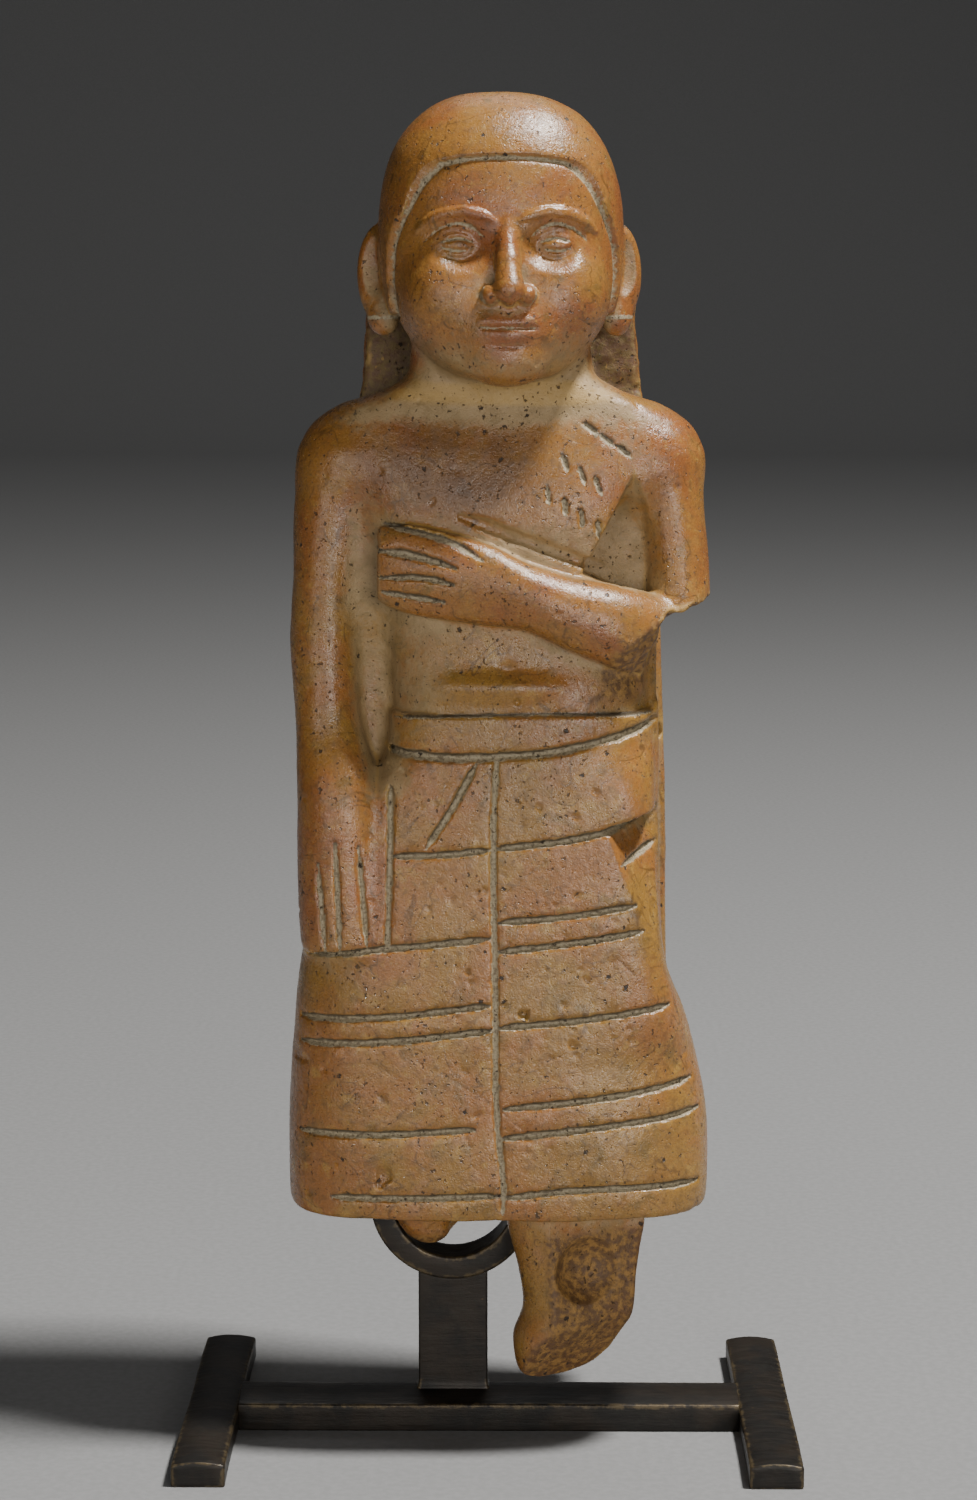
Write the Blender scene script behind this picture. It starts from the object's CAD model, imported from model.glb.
import math

import bpy
import numpy as np
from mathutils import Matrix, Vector


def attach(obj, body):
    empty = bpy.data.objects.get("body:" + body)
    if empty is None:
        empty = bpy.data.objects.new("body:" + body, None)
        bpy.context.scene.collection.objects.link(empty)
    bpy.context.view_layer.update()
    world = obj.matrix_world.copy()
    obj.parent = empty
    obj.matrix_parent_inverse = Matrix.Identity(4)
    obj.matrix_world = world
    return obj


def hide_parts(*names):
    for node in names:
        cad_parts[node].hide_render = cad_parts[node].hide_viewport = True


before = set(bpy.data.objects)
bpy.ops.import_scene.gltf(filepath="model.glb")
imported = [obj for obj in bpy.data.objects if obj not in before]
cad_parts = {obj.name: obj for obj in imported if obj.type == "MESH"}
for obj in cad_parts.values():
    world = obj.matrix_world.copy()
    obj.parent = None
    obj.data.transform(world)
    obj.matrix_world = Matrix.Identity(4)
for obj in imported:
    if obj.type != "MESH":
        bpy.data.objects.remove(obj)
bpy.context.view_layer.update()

MM = 0.001
BODY = "root"

# Camera, at the photograph's viewing angle. Places in millimetres, turns in degrees.
CAMERA_AT = (3.02, -318.7, 112.9)
LOOKS_DOWN = 8.37
TURNED_LEFT = 0.55
LENS = 81.6
SENSOR = 36.0


def make_camera():
    data = bpy.data.cameras.new("camera")
    data.lens = LENS
    data.sensor_width = SENSOR
    data.sensor_fit = "AUTO"
    data.clip_start = 0.01
    data.clip_end = 20.0
    camera = bpy.data.objects.new("camera", data)
    camera.location = Vector(CAMERA_AT) * MM
    camera.rotation_euler = (math.radians(90 - LOOKS_DOWN), 0, math.radians(TURNED_LEFT))
    bpy.context.scene.collection.objects.link(camera)
    bpy.context.scene.camera = camera


make_camera()

# Sizes of the figure in millimetres. Heights are above the underside of the kilt's hem,
# x is from the figure's middle plane, y runs from front to back.
HEM_Z = 23.1
AXIS_X = 1.1
FIELD_LOW = (-21.6, -14.8, -18.0)
FIELD_HIGH = (21.4, 13.2, 105.0)
COARSE = 1.0
FINE_STEPS = 5
MOST_TRIANGLES = 194000

# Rows of the body: height, half-width on the figure's right and left, how far the front stands out
KILT = [
    [0.0, 19.9, 19.4, 11.3],
    [0.8, 20.1, 19.7, 11.5],
    [5.0, 20.2, 19.85, 11.5],
    [10.0, 20.1, 19.5, 11.3],
    [17.0, 19.6, 17.8, 10.9],
    [23.0, 19.0, 15.7, 10.5],
    [30.0, 17.4, 14.8, 10.0],
    [38.0, 14.4, 14.5, 9.5],
    [43.0, 10.9, 14.5, 9.2],
    [47.4, 10.5, 14.4, 9.0],
]
KILT_POWER = 3.5
TORSO = [
    [44.0, 9.8, 13.8, 8.2],
    [49.0, 10.2, 13.8, 8.4],
    [53.0, 10.5, 13.6, 7.6],
    [60.0, 11.6, 13.8, 7.5],
    [66.0, 14.0, 14.5, 7.6],
    [70.0, 15.6, 15.6, 6.9],
    [73.0, 15.9, 15.9, 6.0],
    [75.4, 14.3, 14.3, 5.2],
    [76.8, 11.2, 11.2, 5.0],
    [78.2, 8.9, 8.9, 5.0],
    [80.5, 8.4, 8.4, 5.3],
    [86.0, 8.2, 8.2, 5.6],
]
TORSO_POWER = 3.0
BODY_BACK = 7.0

# Head: height above the chin, half-width, front and back
SKULL = [
    [0.0, 2.6, -8.6, -4.0],
    [1.0, 5.2, -10.1, -0.5],
    [2.6, 7.2, -10.8, 2.5],
    [5.2, 9.2, -11.0, 5.0],
    [8.5, 10.4, -10.8, 7.5],
    [12.5, 10.95, -10.6, 9.4],
    [14.5, 10.95, -10.6, 9.4],
]
SKULL_POWER = 2.3
CHIN_AT = (0.0, -0.6, 77.4)
TILT_BACK = 4.0
TURN = 4.0

# Limbs: middle of the section (x, y, height), half-width across, half-depth
HANGING_ARM = [
    [-14.6, 0.2, 71.5, 4.0, 4.8],
    [-15.6, -0.2, 66.0, 3.7, 5.0],
    [-16.2, -0.6, 60.0, 3.2, 4.7],
    [-16.4, -1.2, 53.0, 3.3, 4.3],
    [-16.1, -2.6, 46.0, 3.1, 3.9],
    [-15.0, -4.6, 39.5, 4.0, 4.5],
    [-14.7, -5.5, 32.0, 4.3, 4.3],
    [-14.5, -6.1, 25.2, 4.1, 3.9],
]
UPPER_ARM = [
    [14.8, 0.2, 71.5, 4.0, 4.8],
    [15.8, -0.2, 66.0, 3.3, 4.8],
    [16.5, -1.2, 60.0, 3.0, 4.6],
    [16.4, -3.0, 54.0, 3.1, 4.2],
    [15.6, -3.6, 51.0, 2.6, 3.6],
]
FOREARM = [
    [16.6, -4.4, 53.6, 3.9, 3.4],
    [11.4, -7.0, 55.2, 4.0, 3.5],
    [6.8, -8.2, 56.6, 3.4, 3.0],
    [2.7, -8.5, 58.2, 3.1, 2.6],
    [-1.0, -8.3, 59.4, 3.7, 2.2],
    [-5.5, -7.9, 60.3, 4.1, 2.0],
    [-9.0, -7.4, 60.9, 4.1, 1.8],
    [-10.9, -7.0, 61.2, 3.6, 1.5],
]
SHOULDER = ((14.2, 0.2, 69.8), (4.9, 5.4, 5.5))
FRONT_LEG = [
    [7.2, -5.2, 3.0, 6.9, 4.5],
    [7.2, -5.2, -1.5, 6.6, 4.3],
    [7.4, -5.4, -6.0, 5.7, 4.2],
    [7.5, -5.6, -9.6, 5.3, 4.2],
    [6.6, -5.6, -12.5, 5.3, 4.0],
    [6.2, -5.5, -15.6, 4.5, 3.6],
    [6.2, -5.5, -16.9, 2.9, 2.6],
]
REAR_STUMP = [
    [-6.6, 0.6, 3.0, 4.4, 4.6],
    [-6.9, 0.6, -0.6, 3.7, 4.2],
    [-7.0, 0.6, -3.0, 2.9, 3.6],
    [-7.0, 0.6, -4.7, 1.7, 2.6],
]

# Carved lines of the kilt, in x and height
KILT_LINES = [
    [[-0.3, 43.6], [-0.6, 35.2], [-0.4, 20.9], [-0.3, 10.8], [0.3, 4.5], [0.3, 0.9]],
    [[-0.3, 35.1], [5.2, 35.7], [10.3, 36.7], [14.6, 38.2]],
    [[11.3, 33.5], [14.6, 34.9]],
    [[-0.1, 28.2], [6.3, 28.8], [12.6, 29.8]],
    [[-0.1, 25.5], [6.6, 26.3], [13.3, 27.4]],
    [[-0.1, 18.4], [8.0, 19.2], [15.7, 20.3]],
    [[0.4, 10.8], [9.0, 11.7], [17.9, 12.9]],
    [[0.0, 8.0], [9.0, 9.0], [18.6, 10.0]],
    [[0.5, 2.4], [9.0, 3.2], [18.6, 3.1]],
    [[-9.9, 34.3], [-5.2, 34.5], [-0.8, 35.0]],
    [[-2.2, 42.9], [-4.4, 38.8], [-6.8, 35.1]],
    [[-17.9, 24.7], [-10.4, 25.7], [-1.0, 26.7]],
    [[-18.6, 18.7], [-9.8, 19.4], [-0.9, 20.5]],
    [[-18.6, 16.4], [-9.6, 17.1], [-0.6, 18.2]],
    [[-18.7, 8.0], [-10.4, 8.3], [-2.3, 8.9]],
    [[-15.7, 2.1], [-8.0, 2.3], [-0.1, 2.6]],
]
BELT_LINE = [[-9.9, 43.8], [-4.8, 43.5], [0, 43.6], [6.5, 44.3], [14.4, 46.4]]
THUMB_LINE = [[-10.1, 40.6], [-10.2, 33.0], [-10.4, 25.7]]
HANGING_FINGERS = [
    [[-16.8, 33.6], [-16.2, 25.4]],
    [[-15.2, 35.6], [-14.8, 25.4]],
    [[-13.1, 35.2], [-12.3, 25.6]],
]
CHEST_FINGERS = [
    [[-10.6, 64.9], [-6.8, 64.1], [-4.0, 63.2], [-1.6, 61.8]],
    [[-11.2, 62.6], [-7.9, 62.2], [-4.0, 61.1]],
    [[-11.0, 60.1], [-7.3, 60.2], [-4.2, 59.6]],
    [[-10.8, 58.8], [-7.3, 58.3], [-5.1, 58.0]],
]

LIMB_POWER = 2.2
SLAB_CORNERS = [(-16.4, 0.4), (-15.6, 52.0), (-12.4, 86.5), (-10.9, 90.0), (-7.4, 91.5),
                (7.4, 91.5), (10.9, 90.0), (12.4, 86.5), (15.6, 52.0), (16.4, 0.4)]
SLAB_FRONT = 5.6
SLAB_REAR = 12.0
WEB_CORNERS = [(-14.6, 0.5), (-14.6, 71), (14.6, 71), (14.6, 0.5)]
WEB_FRONT = -2.3
WEB_RISE = (2.2, 50.0, 62.0)
RIDGE = [(10.0, -9.3, 36.9), (15.6, -9.6, 22.6), (14.9, -1.0, 36.5)]
RIDGE_TOP = [(9.0, 36.9), (15.0, 38.4)]
CORNER_POWER = 8.0
CORNER_ZONE = (14.0, 24.0, 38.0, 45.0)
ARMPIT_CORNERS = [(7.4, 60.2), (12.3, 69.6), (13.9, 67.0), (14.9, 57.0)]
ARMPIT_FLOOR = -2.6
BELLY_FOLD = ((0.2, -7.2, 49.8), (6.0, 1.8, 1.35))
NAVEL = ((0.8, -8.9, 51.6), (1.3, 1.5, 0.8))
ELBOW_UNDER = ((12.6, 48.4), (15.0, 56.8))
ELBOW_OUTSIDE = ((14.2, 55.9), (20.2, 58.4))
ELBOW_CUT = ((12.6, -9.6, 54.0), (0.60, -0.50, -0.62))
ELBOW_SHADE = ((8.9, 51.1), (14.9, 56.8))
LEG_SCOOP = ((9.3, -9.7, -5.6), (4.1, 3.7, 3.9))
LEG_CUTS = [
    ((5.0, -9.3, -6.0), (0.40, -0.91, 0.05)),
    ((8.1, -7.7, -11.6), (0.40, -0.67, -0.62)),
]

# Face, in head coordinates: thirds from chin to nose, nose to brow and brow to hair are equal,
# the eyes are one eye apart and the mouth is a third of the way up to the nose.
THIRD = 6.85
EYE = {"x": 4.4, "w": 1.78 * THIRD}
FACE_MASSES = [
    (((4.9, -7.2, 8.0), (4.0, 3.5, 4.2)), 1.6),
    (((0, -8.5, 4.9), (4.4, 3.3, 3.4)), 1.6),
    (((0, -8.9, 1.8), (3.0, 2.3, 2.0)), 1.4),
]
FACE_HOLLOWS = [
    (((4.3, -13.2, 12.1), (3.6, 4.2, 2.6)), 0.8),
]
FACE_DETAILS = [
    (((4.4, -7.3, 12.2), (2.7, 2.7, 2.2)), 0.3),
    (((0.75, -11.0, 5.2), (2.1, 0.95, 0.62)), 0.35),
    (((0, -10.9, 4.05), (2.3, 1.05, 0.72)), 0.35),
]
NOSE = [
    ((0, -9.9, 13.6), (0, -11.3, 10.6), 0.95, 1.0),
    ((0, -11.3, 10.6), (0, -12.4, 8.0), 1.0, 1.4),
]
NOSE_WING = ((1.6, -11.4, 7.6), (1.0, 1.3, 0.95))
NOSTRIL = ((0.85, -12.5, 6.75), (0.5, 0.7, 0.4))
EAR = {
    "at": (11.0, 0.8, 10.3),
    "swing": 28.0,
    "halves": (2.5, 1.25, 4.7),
    "lobe": ((-0.3, -0.2, -4.2), (1.5, 1.1, 1.6)),
    "hollow": ((0.1, -1.3, 0.7), (1.5, 0.95, 3.0)),
    "fold": ((-0.4, -0.6, 0.9), (0.45, 0.5, 2.2)),
}
HAIR_ARCH = [(0, 20.2), (2.5, 20.15), (4.6, 19.9), (6.4, 19.6), (7.6, 19.0), (8.5, 17.4), (9.3, 15.0), (12.0, 13.0)]
SIDEBURN = [(5.0, -3.6), (6.2, -4.0), (9.7, -4.4), (12.2, -5.0), (15.6, -6.9), (17.6, -7.7), (19.5, -8.4)]
SIDEBURN_LOW = 6.4
DOME = {"from": 12.5, "half": 10.95, "middle": -0.6, "deep": 10.0, "high": 13.8, "power": 2.6}

BELT_FRONT_EDGE = [[-9.9, 47.0], [-4.7, 47.3], [5.3, 47.5], [14.3, 47.2]]
CHEST_FINGER_CUTS = [(0.8, 0.3), (1.0, 0.55), (0.8, 0.55), (0.8, 0.5)]
CHEST_LEDGE = [[-3.6, 65.6], [1.8, 63.6], [7.0, 61.6], [9.4, 60.8]]
SCRATCHES = [
    [[-9.3, 16.1], [-4.5, 13.6], [-0.1, 10.8], [4.2, 6.9]],
    [[-13.9, 33.4], [-9.0, 36.2], [-4.9, 38.4]],
    [[2.0, 33.9], [5.5, 35.6], [9.5, 36.2]],
    [[-4.6, 26.4], [-2.6, 28.6], [0.8, 31.2], [4.8, 34.4]],
    [[3.1, 14.9], [6.5, 16.2], [8.9, 17.4]],
    [[-12.5, 15.2], [-10.4, 14.2], [-8.8, 13.0]],
    [[9.8, 25.9], [12.2, 23.6], [14.0, 21.4]],
    [[11.4, 12.0], [14.2, 14.2], [16.6, 17.3]],
]
INSCRIPTION = [
    [[x + 1.55 * k, h - 1.05 * k + 0.1], [x + 1.55 * k + dx, h - 1.05 * k + dh]]
    for x, h, count, dx, dh in ((7.6, 74.0, 3, 1.3, -0.9), (5.6, 71.2, 3, 0.6, -1.5), (4.3, 68.3, 4, 0.15, -1.5))
    for k in range(count)
]
MARKED_PITS = [
    (2.2, 19.7, 0.55, 0.45),
    (6.8, 16.8, 0.4, 0.25),
    (-10.7, 4.4, 0.9, 0.4),
    (-11.2, 3.6, 0.5, 0.3),
    (1.6, 48.6, 0.4, 0.3),
    (-2.9, 23.6, 0.3, 0.25),
    (-4.6, 38.1, 0.35, 0.15),
]
CHIPS = [
    (18.9, -9.6, 0.4, 1.4),
    (-19.6, -9.4, 0.5, 0.9),
    (17.4, -10.8, 1.2, 0.7),
    (-11.0, -12.4, -0.2, 1.0),
    (15.0, 6.0, 44.0, 0.7),
    (14.6, 5.6, 60.5, 0.6),
    (-14.0, 5.8, 74.0, 0.6),
    (13.7, 5.4, 79.0, 0.7),
]

# Where a grey film lies on the stone, and how thickly, and where the chest is dark brown
FILM_ZONES = [
    ((0.5, 77.0, 14.0, 5.5), 0.75),
    ((-8.5, 53.0, 6.5, 10.5), 0.6),
    ((-12.6, 57.0, 3.0, 15.0), 0.4),
    ((-10.0, 42.0, 3.0, 4.0), 0.7),
    ((-8.6, 45.5, 5.0, 3.0), 0.45),
    ((11.6, 61.5, 4.2, 6.5), 0.6),
    ((4.0, 63.2, 10.0, 3.0), 0.6),
    ((9.0, 72.0, 8.0, 6.0), 0.3),
    ((-12.0, 80.0, 4.0, 12.0), 0.3),
]
DUSK_ZONE = (-4.5, 70.0, 12.5, 6.2)

# Stand, in millimetres of the shared frame
CLEARANCE = 0.3
STAND_WIDTH = 58.4
FOOT = {"width": 5.0, "length": 37.5, "edge": 2.05, "crown": 2.4}
CROSSBAR = {"depth": 6.9, "edge": 2.65, "crown": 2.95}
POST = {"x": -3.5, "y": 1.75, "width": 6.7, "thick": 2.3}
CRADLE = {"outer": 8.0, "inner": 5.8, "centre_z": 22.3, "tip_z": 22.75, "near": -0.6, "far": 4.1}


# Smooth tables and fields. A field is negative inside the stone and close to a distance near its surface.

def catmull(rows, count):
    """Smooth rows between the rows of a table, evenly spread over it."""
    table = np.array(rows, float)
    padded = np.vstack([table[:1], table, table[-1:]])
    place = np.linspace(0, len(table) - 1, count)
    start = np.minimum(place.astype(int), len(table) - 2)
    t = (place - start)[:, None]
    before, here, after, later = (padded[start + k] for k in range(4))
    m1 = (after - before) / 2
    m2 = (later - here) / 2
    return ((2 * t**3 - 3 * t**2 + 1) * here + (t**3 - 2 * t**2 + t) * m1
            + (3 * t**2 - 2 * t**3) * after + (t**3 - t**2) * m2)


class Run:
    """Columns of a table, read at any place along one of them."""

    STEPS = 4096

    def __init__(self, rows, along):
        fine = catmull(rows, 600)
        fine = fine[np.argsort(fine[:, along])]
        self.low = fine[0, along]
        self.high = fine[-1, along]
        place = np.linspace(self.low, self.high, self.STEPS)
        self.columns = [np.interp(place, fine[:, along], fine[:, c]).astype(np.float32)
                        for c in range(fine.shape[1]) if c != along]
        spread = (self.high - self.low) / (self.STEPS - 1)
        steepest = np.max([np.abs(np.gradient(c, spread)) for c in self.columns], axis=0)
        self.slack = (1 / np.sqrt(1 + steepest**2)).astype(np.float32)

    def at(self, place):
        scaled = (place - self.low) * ((self.STEPS - 1) / (self.high - self.low))
        index = np.clip(scaled, 0, self.STEPS - 1).astype(np.int32)
        return [column[index] for column in self.columns] + [self.slack[index]]


RUNS = {
    "kilt": Run(KILT, 0),
    "torso": Run(TORSO, 0),
    "skull": Run(SKULL, 0),
    "hanging_arm": Run(HANGING_ARM, 2),
    "upper_arm": Run(UPPER_ARM, 2),
    "forearm": Run(FOREARM, 0),
    "front_leg": Run(FRONT_LEG, 2),
    "rear_stump": Run(REAR_STUMP, 2),
}


class Noise:
    """Smooth random values between -1 and 1 through space, the same at every run."""

    SIZE = 32

    def __init__(self, seed):
        self.grid = np.random.default_rng(seed).uniform(-1, 1, self.SIZE**3).astype(np.float32)

    def at(self, x, y, z, cell):
        spots = []
        for p in (x, y, z):
            p = p / np.float32(cell) + np.float32(self.SIZE * 8)
            whole = np.floor(p)
            t = p - whole
            near = whole.astype(np.int32) & (self.SIZE - 1)
            spots.append((near, (near + 1) & (self.SIZE - 1), t * t * (3 - 2 * t)))
        (i0, i1, tx), (j0, j1, ty), (k0, k1, tz) = spots
        planes = []
        for i in (i0, i1):
            rows = []
            for j in (j0, j1):
                start = (i * self.SIZE + j) * self.SIZE
                a = self.grid[start + k0]
                rows.append(a + (self.grid[start + k1] - a) * tz)
            planes.append(rows[0] + (rows[1] - rows[0]) * ty)
        return planes[0] + (planes[1] - planes[0]) * tx


NOISE = Noise(11)


def smooth_min(a, b, width):
    blend = np.clip(0.5 + 0.5 * (b - a) / width, 0, 1)
    return b + (a - b) * blend - width * blend * (1 - blend)


def smooth_max(a, b, width):
    return -smooth_min(-a, -b, width)


def fade(value, low, high):
    """0 below low, 1 above high and smooth between them."""
    t = np.clip((value - low) / (high - low), 0, 1)
    return t * t * (3 - 2 * t)


def section(u, v, half_u, half_v, power):
    """Field of a rounded section between an ellipse (power 2) and a box (high power)."""
    pu = np.abs(u) / half_u
    pv = np.abs(v) / half_v
    total = np.maximum(pu**power + pv**power, 1e-5)
    steep = np.sqrt((pu ** (power - 1) / half_u) ** 2 + (pv ** (power - 1) / half_v) ** 2)
    q = total ** (1 / power)
    steep *= q / total
    return np.clip((q - 1) / np.maximum(steep, 1e-3), -6, 60)


def ellipsoid(x, y, z, centre, halves):
    px, py, pz = ((p - c) / h for p, c, h in zip((x, y, z), centre, halves))
    k0 = np.sqrt(px * px + py * py + pz * pz)
    k1 = np.sqrt((px / halves[0]) ** 2 + (py / halves[1]) ** 2 + (pz / halves[2]) ** 2)
    return k0 * (k0 - 1) / np.maximum(k1, 1e-6)


def capsule(x, y, z, start, end, start_radius, end_radius):
    a = np.array(start, np.float32)
    run = np.array(end, np.float32) - a
    t = ((x - a[0]) * run[0] + (y - a[1]) * run[1] + (z - a[2]) * run[2]) / float(run @ run)
    t = np.clip(t, 0, 1)
    away = np.sqrt((x - a[0] - t * run[0]) ** 2 + (y - a[1] - t * run[1]) ** 2 + (z - a[2] - t * run[2]) ** 2)
    return away - (start_radius + (end_radius - start_radius) * t)


def upright_body(x, y, h, run, power):
    right, left, front, slack = run.at(h)
    half_u = np.where(x < 0, right, left)
    half_v = np.where(y < 0, front, np.float32(BODY_BACK))
    return section(x, y, half_u, half_v, power) * slack


def upright_limb(x, y, h, run, low, high, rounding=1.0):
    cx, cy, half_u, half_v, slack = run.at(h)
    side = section(x - cx, y - cy, half_u, half_v, LIMB_POWER) * slack
    return smooth_max(side, np.maximum(low - h, h - high), rounding)


def level_limb(x, y, h, run, low, high, rounding=1.0):
    cy, ch, half_h, half_y, slack = run.at(x)
    side = section(h - ch, y - cy, half_h, half_y, LIMB_POWER) * slack
    return smooth_max(side, np.maximum(low - x, x - high), rounding)


def half_plane(x, h, first, second):
    """Field of what lies to the right of the line from first to second."""
    dx, dh = second[0] - first[0], second[1] - first[1]
    return ((h - first[1]) * dx - (x - first[0]) * dh) / math.hypot(dx, dh)


def convex_outline(x, h, corners, rounding):
    """Field of a convex outline, its corners given clockwise, with rounded corners."""
    field = None
    for i, corner in enumerate(corners):
        side = half_plane(x, h, corner, corners[(i + 1) % len(corners)])
        field = side if field is None else smooth_max(field, side, rounding)
    return field


# Carved strokes, drawn on flat charts that the front of the stone is cut back by

class Chart:
    """Depths over a flat chart in millimetres: positive is cut away, negative stands out."""

    def __init__(self, low, high, pitch, seed):
        self.low, self.pitch = low, pitch
        self.shape = tuple(int((b - a) / pitch) + 1 for a, b in zip(low, high))
        self.depth = np.zeros(self.shape, np.float32)
        self.filled = np.zeros(self.shape, np.float32)
        self.random = np.random.default_rng(seed)
        self.wobble = self.cloud(0.9) * 0.6 + self.cloud(0.35) * 0.4

    def cloud(self, cell):
        """Smooth random values between -1 and 1 over the chart."""
        counts = [int(n * self.pitch / cell) + 3 for n in self.shape]
        grid = self.random.uniform(-1, 1, counts)
        for axis, n in enumerate(self.shape):
            place = np.arange(n) * self.pitch / cell
            start = place.astype(int)
            t = place - start
            t = (t * t * (3 - 2 * t)).reshape([-1 if k == axis else 1 for k in range(2)])
            grid = np.take(grid, start, axis) * (1 - t) + np.take(grid, start + 1, axis) * t
        return grid.astype(np.float32)

    def window(self, points, margin):
        low = [max(0, int((min(p[k] for p in points) - margin - self.low[k]) / self.pitch)) for k in range(2)]
        high = [min(self.shape[k], int((max(p[k] for p in points) + margin - self.low[k]) / self.pitch) + 2)
                for k in range(2)]
        area = (slice(low[0], high[0]), slice(low[1], high[1]))
        a = self.low[0] + np.arange(low[0], high[0]) * self.pitch
        b = self.low[1] + np.arange(low[1], high[1]) * self.pitch
        return area, a[:, None], b[None, :]

    def stroke(self, points, width, depth, taper=0.8, flat=0.35, fill=1.0, rough=0.25):
        """One cut along a smooth line; flat is the share of its width that its floor takes."""
        line = catmull(points, 8 * (len(points) - 1) + 1) if len(points) > 2 else np.array(points, float)
        area, a, b = self.window(line, width + 0.3)
        reach = np.concatenate([[0], np.cumsum(np.hypot(*np.diff(line, axis=0).T))])
        near = np.full(self.depth[area].shape, 9e3, np.float32)
        along = np.zeros_like(near)
        for k in range(len(line) - 1):
            run = line[k + 1] - line[k]
            length = max(float(run @ run), 1e-9)
            t = np.clip(((a - line[k, 0]) * run[0] + (b - line[k, 1]) * run[1]) / length, 0, 1)
            away = np.hypot(a - line[k, 0] - t * run[0], b - line[k, 1] - t * run[1])
            closer = away < near
            near = np.where(closer, away, near)
            along = np.where(closer, reach[k] + t * (reach[k + 1] - reach[k]), along)
        ends = np.minimum(along, reach[-1] - along)
        shrink = 0.45 + 0.55 * fade(ends, 0, taper) if taper > 0 else 1
        half = width / 2 * shrink * (1 + rough * self.wobble[area])
        profile = 1 - fade(near / half, flat, 1.0)
        cut = profile * depth * (1 + 0.2 * self.wobble[area]) * shrink
        if depth > 0:
            self.depth[area] = np.maximum(self.depth[area], cut)
            self.filled[area] = np.maximum(self.filled[area], fill * (1 - fade(near / half, flat, 1.1)))
        else:
            self.depth[area] += cut

    def pit(self, spot, radius, depth, fill=0.0, stretch=1.0, turn=0.0):
        area, a, b = self.window([spot], radius * max(stretch, 1) * 1.5)
        da, db = a - spot[0], b - spot[1]
        p = (da * math.cos(turn) + db * math.sin(turn)) / stretch
        q = -da * math.sin(turn) + db * math.cos(turn)
        away = np.hypot(p, q) / radius * (1 + 0.35 * self.wobble[area])
        bowl = np.sqrt(np.clip(1 - away * away, 0, 1))
        self.depth[area] = np.maximum(self.depth[area], depth * bowl)
        self.filled[area] = np.maximum(self.filled[area], fill * bowl)

    def scatter_pits(self, count, low, high, radii, depth_share=0.5):
        for _ in range(count):
            spot = [self.random.uniform(low[k], high[k]) for k in range(2)]
            radius = radii[0] + (radii[1] - radii[0]) * self.random.random() ** 3
            self.pit(spot, radius, radius * depth_share * self.random.uniform(0.6, 1.2), 0.0,
                     self.random.uniform(1, 1.8), self.random.uniform(0, 3.14))

    def read(self, a, b, values):
        i = np.clip(((a - self.low[0]) / self.pitch + 0.5).astype(np.int32), 0, self.shape[0] - 1)
        j = np.clip(((b - self.low[1]) / self.pitch + 0.5).astype(np.int32), 0, self.shape[1] - 1)
        return values[i, j]


def body_chart():
    chart = Chart((FIELD_LOW[0], FIELD_LOW[2]), (FIELD_HIGH[0], 78.0), 0.1, 5)
    chart.stroke(KILT_LINES[0], 0.75, 0.34, 0.5, 0.45)
    for line in KILT_LINES[1:]:
        chart.stroke(line, 0.8, 0.5, 1.2, 0.45)
    chart.stroke(BELT_LINE, 1.05, 0.62, 0)
    chart.stroke(CHEST_LEDGE, 1.8, 0.5, 2.5, 0.3, 0.0)
    chart.stroke(BELT_FRONT_EDGE, 0.35, 0.12, 1.5)
    chart.stroke(THUMB_LINE, 0.8, 0.5, 0.8)
    for line in HANGING_FINGERS:
        chart.stroke(line, 0.72, 0.42, 2.5)
    for line, (width, depth) in zip(CHEST_FINGERS, CHEST_FINGER_CUTS):
        chart.stroke(line, width, depth, 2.0)
    for line in SCRATCHES:
        chart.stroke(line, 0.16, 0.08, 2.0, 0.2, 0.25)
    for stroke in INSCRIPTION:
        chart.stroke(stroke, 0.62, 0.26, 0.3, 0.6)
    for x, h, radius, depth in MARKED_PITS:
        chart.pit((x, h), radius, depth)
    chart.scatter_pits(420, (-20, 0), (19, 47), (0.08, 0.34))
    chart.scatter_pits(160, (-18, 48), (19, 76), (0.08, 0.3))
    return chart


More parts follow.
